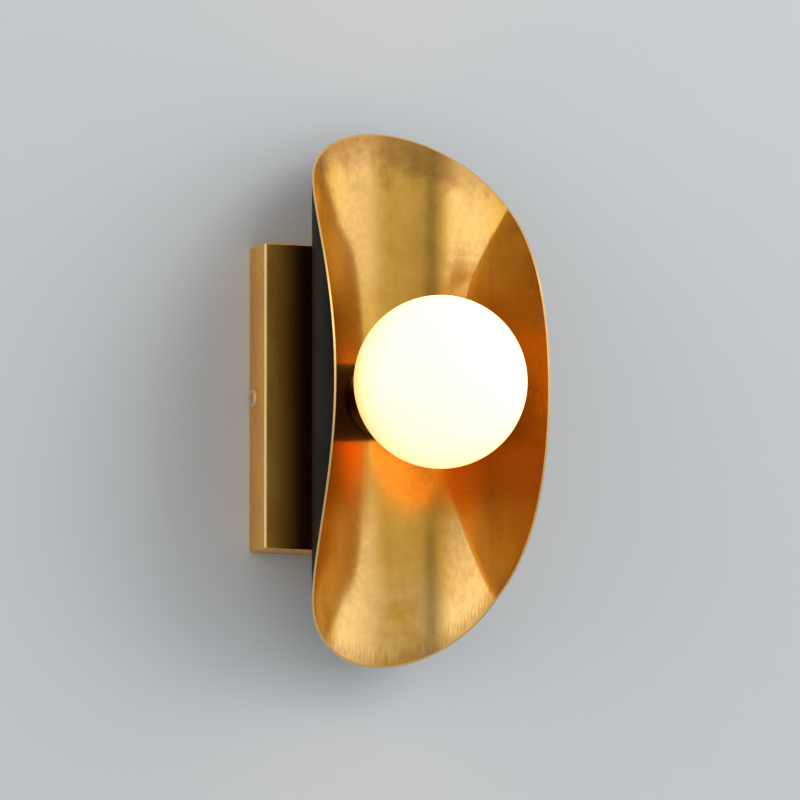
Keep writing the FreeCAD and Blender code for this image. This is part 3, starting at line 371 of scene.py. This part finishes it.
# Where painted shade darkens the box: towards the wall along Y, and towards the shell by distance from X =
# 0.
WALL_SHADE_EDGE = (-0.020, -0.002)
SHELL_SHADE_EDGE = (0.066, 0.042)
EDGE_HIGHLIGHT_SLANT = (0.25, 0.5)
BOX_STREAKS = 0.000004


def box_brass():
    """Aged brass with painted shade towards the part the shell covers and near the wall, and a painted
    highlight on the rounded folds.
    """
    graph = Finish("box_brass")
    spot = graph.split(graph.position)
    facing = graph.split(graph.normal)
    streaks = graph.noise(1.0, (420, 420, 16), 2.0)
    clouds = graph.noise(1.0, (60, 60, 26), 3.0)
    tint = graph.mix(graph.fade(clouds, 0.3, 0.7), BOX_DEEP, BOX_LIGHT)
    tint = graph.mix(graph.fade(streaks, 0.4, 0.8, 0.0, 0.16), tint, BOX_STREAK)
    # Painted shade: the box darkens towards the wall.
    tint = graph.mix(graph.fade(spot[1], *WALL_SHADE_EDGE, 0.0, 0.5), tint, BOX_PAINTED_WALL_SHADE)

    # Painted shade: the front darkens towards the part the shell covers.
    front = graph.math("LESS_THAN", spot[1], BOX_FRONT)
    shell_shade = graph.product(graph.fade(graph.math("ABSOLUTE", spot[0]), *SHELL_SHADE_EDGE), front)
    tint = graph.mix(shell_shade, tint, BOX_PAINTED_SHELL_SHADE)
    # Painted highlight: pale brass where the normal slants between side and front.
    slants = [graph.fade(graph.math("ABSOLUTE", facing[axis]), *EDGE_HIGHLIGHT_SLANT) for axis in (0, 1)]
    edge_highlight = graph.product(*slants)
    graph.feed(graph.mix(edge_highlight, tint, BOX_PAINTED_EDGE_HIGHLIGHT), graph.shader.inputs["Base Color"])

    graph.feed(graph.fade(clouds, 0.3, 0.8, 0.26, 0.36), graph.shader.inputs["Roughness"])
    graph.bump(streaks, BOX_STREAKS, 0.5)
    return graph.set(Metallic=0.55, Specular_IOR_Level=0.3)


def brass(name, dark, light, roughness, stretch=(1, 1, 1)):
    return speckled(name, dark, light, roughness, 1.0, 700.0, stretch)


# ---------------------------------------------------------------- globe and small parts

OPAL_BACK_GLOW = (0.92, 0.42, 0.13)
OPAL_FRONT_GLOW = (1.0, 0.56, 0.27)
# How far forward the glow changes, in metres out from the wall, and how much height counts as forward.
OPAL_TURN = (0.095, 0.150)
OPAL_RISE = 0.35


def opal_diffuser():
    """Lit opal: nearly white in front, warmer towards its back and its underside."""
    graph = Finish("opal_diffuser")
    spot = graph.split(graph.position)
    cloud = graph.noise(60.0, detail=2.0)
    forward = graph.math("SUBTRACT", graph.math("MULTIPLY", spot[2], OPAL_RISE), spot[1])
    level = graph.math("ADD", forward, graph.fade(cloud, 0.3, 0.7, -0.002, 0.002))
    glow = graph.mix(graph.fade(level, *OPAL_TURN), OPAL_BACK_GLOW, OPAL_FRONT_GLOW)
    graph.feed(glow, graph.shader.inputs["Emission Color"])
    graph.feed(graph.mix(cloud, (0.78, 0.76, 0.69), (0.83, 0.81, 0.75)), graph.shader.inputs["Base Color"])
    return graph.set(Roughness=0.35, Emission_Strength=1.6)


def earth_insulation():
    """Green with a yellow stripe along each side."""
    graph = Finish("green_wire")
    stripe = graph.fade(graph.math("ABSOLUTE", graph.split(graph.normal)[0]), 0.55, 0.6)
    grain = graph.noise(800.0)
    green = graph.mix(grain, (0.05, 0.25, 0.06), (0.09, 0.33, 0.10))
    yellow = graph.mix(grain, (0.70, 0.55, 0.04), (0.80, 0.65, 0.07))
    graph.feed(graph.mix(stripe, green, yellow), graph.shader.inputs["Base Color"])
    return graph.set(Roughness=0.45)


MATERIALS = {
    "shell_brass": shell_brass(),
    "box_brass": box_brass(),
    "screw_brass": speckled("screw_brass", (0.76, 0.53, 0.24), (0.88, 0.65, 0.33), 0.30, metallic=0.7),
    "cup_brass": brass("cup_brass", (0.055, 0.011, 0.003), (0.09, 0.020, 0.006), 0.38, (1, 0.2, 1)),
    "contact_brass": brass("contact_brass", (0.72, 0.50, 0.20), (0.84, 0.62, 0.30), 0.28),
    "zinc_steel": speckled("zinc_steel", (0.48, 0.50, 0.52), (0.64, 0.66, 0.66), 0.36, metallic=1.0),
    "cap_metal": speckled("cap_metal", (0.66, 0.66, 0.65), (0.78, 0.78, 0.77), 0.30, metallic=1.0),
    "black_nylon": speckled("black_nylon", (0.018, 0.018, 0.018), (0.035, 0.035, 0.035), 0.50),
    "white_nylon": speckled("white_nylon", (0.70, 0.69, 0.64), (0.78, 0.77, 0.73), 0.45),
    "holder_ceramic": speckled("holder_ceramic", (0.74, 0.73, 0.69), (0.82, 0.81, 0.78), 0.14, scale=300.0),
    "collar_white": speckled("collar_white", (0.74, 0.74, 0.71), (0.80, 0.80, 0.77), 0.42),
    "brown_wire": speckled("brown_wire", (0.12, 0.045, 0.02), (0.18, 0.07, 0.03), 0.45),
    "blue_wire": speckled("blue_wire", (0.02, 0.10, 0.36), (0.04, 0.15, 0.46), 0.45),
    "green_wire": earth_insulation(),
    "opal_diffuser": opal_diffuser(),
    "led_yellow": speckled("led_yellow", (0.76, 0.56, 0.10), (0.86, 0.68, 0.18), 0.35),
    "board_green": speckled("board_green", (0.02, 0.12, 0.04), (0.05, 0.20, 0.08), 0.40),
}

slots = {item["node"]: item["material_slot"] for item in frame["record"]["subparts"]}
for name, piece in nodes.items():
    piece.data.materials.clear()
    piece.data.materials.append(MATERIALS[slots[name]])


# ---------------------------------------------------------------- wall, floor and light

def stage_plane(name, size, place, tilt):
    bpy.ops.mesh.primitive_plane_add(size=size, location=place, rotation=tilt)
    plane = bpy.context.object
    plane.name = name
    return plane


PAINT_GRAIN = 0.015


def pale(name, colour):
    """Matt paint with hardly any grain."""
    graph = Finish(name)
    darker = tuple(channel * (1 - PAINT_GRAIN) for channel in colour)
    graph.feed(graph.mix(graph.noise(6.0), darker, colour), graph.shader.inputs["Base Color"])
    graph.set(Roughness=0.9, Specular_IOR_Level=0.1)
    return graph


def see_through_from_behind(graph):
    """Lets a camera behind the wall see the back of the object, in daylight."""
    tree = graph.tree
    geometry = tree.nodes.new("ShaderNodeNewGeometry")
    path = tree.nodes.new("ShaderNodeLightPath")
    passed = graph.math("GREATER_THAN", path.outputs["Transparent Depth"], 0.5)
    clear = graph.math("MAXIMUM", geometry.outputs["Backfacing"], passed)
    mix = tree.nodes.new("ShaderNodeMixShader")
    glass = tree.nodes.new("ShaderNodeBsdfTransparent")
    tree.links.new(clear, mix.inputs[0])
    tree.links.new(graph.shader.outputs[0], mix.inputs[1])
    tree.links.new(glass.outputs[0], mix.inputs[2])
    tree.links.new(mix.outputs[0], tree.nodes["Material Output"].inputs["Surface"])


WALL_GAP = 0.0004
WALL_SIZE = 6.0
FLOOR_LEVEL = -1.3
FLOOR_SIZE = 12.0
wall_paint = pale("wall_paint", (0.785, 0.812, 0.828))
see_through_from_behind(wall_paint)
wall = stage_plane("wall", WALL_SIZE, (0, WALL_GAP, 0), (math.pi / 2, 0, 0))
wall.data.materials.append(wall_paint.material)
floor = stage_plane("floor", FLOOR_SIZE, (0, 0, FLOOR_LEVEL), (0, 0, 0))
floor.data.materials.append(pale("floor_paint", (0.72, 0.73, 0.735)).material)


def aim(thing, place, target):
    thing.location = place
    thing.rotation_mode = "QUATERNION"
    thing.rotation_quaternion = (Vector(target) - Vector(place)).to_track_quat("-Z", "Y")


def direction(azimuth, elevation):
    """Unit vector from the object: azimuth 0 is straight out from the wall, 90 to the right."""
    a = math.radians(azimuth)
    e = math.radians(elevation)
    return Vector((math.sin(a) * math.cos(e), -math.cos(a) * math.cos(e), math.sin(e)))


LAMP_TARGET = (0, -0.05, 0)


def soft_lamp(name, azimuth, elevation, distance, size, power):
    lamp = bpy.data.lights.new(name, "AREA")
    lamp.shape = "DISK"
    lamp.size = size
    lamp.energy = power
    holder = bpy.data.objects.new(name, lamp)
    bpy.context.scene.collection.objects.link(holder)
    aim(holder, direction(azimuth, elevation) * distance, LAMP_TARGET)


soft_lamp("key", azimuth=32, elevation=32, distance=2.2, size=1.2, power=9)


# Room brightness round the object: (azimuth in degrees, level)
ROOM = [(-180, 0.60), (-125, 0.90), (-96, 1.28), (-64, 1.28), (-54, 0.85), (-47, 0.56), (-42, 0.31),
        (-37, 0.32), (-29, 0.56), (-10, 0.64), (8, 0.64), (20, 0.76), (42, 1.02), (60, 1.22), (75, 1.22),
        (100, 0.85), (180, 0.60)]
ROOM_TOP = max(level for azimuth, level in ROOM)
# The room dims towards straight up and straight down: between these sines of elevation, to this share.
ROOM_DIMMING = (0.25, 0.8)
ROOM_OVERHEAD = 0.55
BACKGROUND = (0.571, 0.597, 0.617)


def light_room():
    world = bpy.data.worlds.new("room")
    world.use_nodes = True
    bpy.context.scene.world = world
    tree = world.node_tree
    graph = Graph(tree)
    side = graph.split(graph.coords.outputs["Generated"])
    bearing = graph.math("ARCTAN2", side[0], graph.math("MULTIPLY", side[1], -1.0))
    turn = graph.math("ADD", graph.math("DIVIDE", bearing, 2 * math.pi), 0.5)
    ramp = tree.nodes.new("ShaderNodeValToRGB")
    tree.links.new(turn, ramp.inputs[0])
    stops = ramp.color_ramp.elements
    while len(stops) < len(ROOM):
        stops.new(0.5)
    for stop, (azimuth, level) in zip(stops, ROOM):
        stop.position = azimuth / 360 + 0.5
        stop.color = (level / ROOM_TOP,) * 3 + (1.0,)
    height = graph.fade(graph.math("ABSOLUTE", side[2]), *ROOM_DIMMING, 1.0, ROOM_OVERHEAD)
    level = graph.math("MULTIPLY", graph.math("MULTIPLY", ramp.outputs[0], height), ROOM_TOP)
    path = tree.nodes.new("ShaderNodeLightPath")
    shade = tree.nodes.new("ShaderNodeCombineColor")
    for socket in shade.inputs:
        tree.links.new(level, socket)
    background = tree.nodes["Background"]
    colour = graph.mix(path.outputs["Is Camera Ray"], shade.outputs[0], BACKGROUND)
    tree.links.new(colour, background.inputs["Color"])


light_room()


# ---------------------------------------------------------------- camera

CAMERA_AZIMUTH = -22.072
CAMERA_ELEVATION = -6.787
CAMERA_DISTANCE = 8.0
PHOTO_WIDTH_PX = 800
PX_PER_METRE = 1805
VIEW_WIDTH = PHOTO_WIDTH_PX / PX_PER_METRE
SENSOR = 36.0
AIM_RIGHT = 0.022329
AIM_UP = 0.003071


def photo_camera():
    out = direction(CAMERA_AZIMUTH, CAMERA_ELEVATION)
    right = Vector((0, 0, 1)).cross(out).normalized()
    up = out.cross(right)
    target = right * AIM_RIGHT + up * AIM_UP
    camera = bpy.data.cameras.new("camera")
    camera.sensor_width = SENSOR
    camera.lens = SENSOR * CAMERA_DISTANCE / VIEW_WIDTH
    camera.clip_end = CAMERA_DISTANCE * 4
    holder = bpy.data.objects.new("camera", camera)
    bpy.context.scene.collection.objects.link(holder)
    holder.location = target + out * CAMERA_DISTANCE
    holder.rotation_mode = "QUATERNION"
    holder.rotation_quaternion = Matrix((right, up, out)).transposed().to_quaternion()
    bpy.context.scene.camera = holder


photo_camera()
bpy.context.scene.view_settings.view_transform = "Standard"
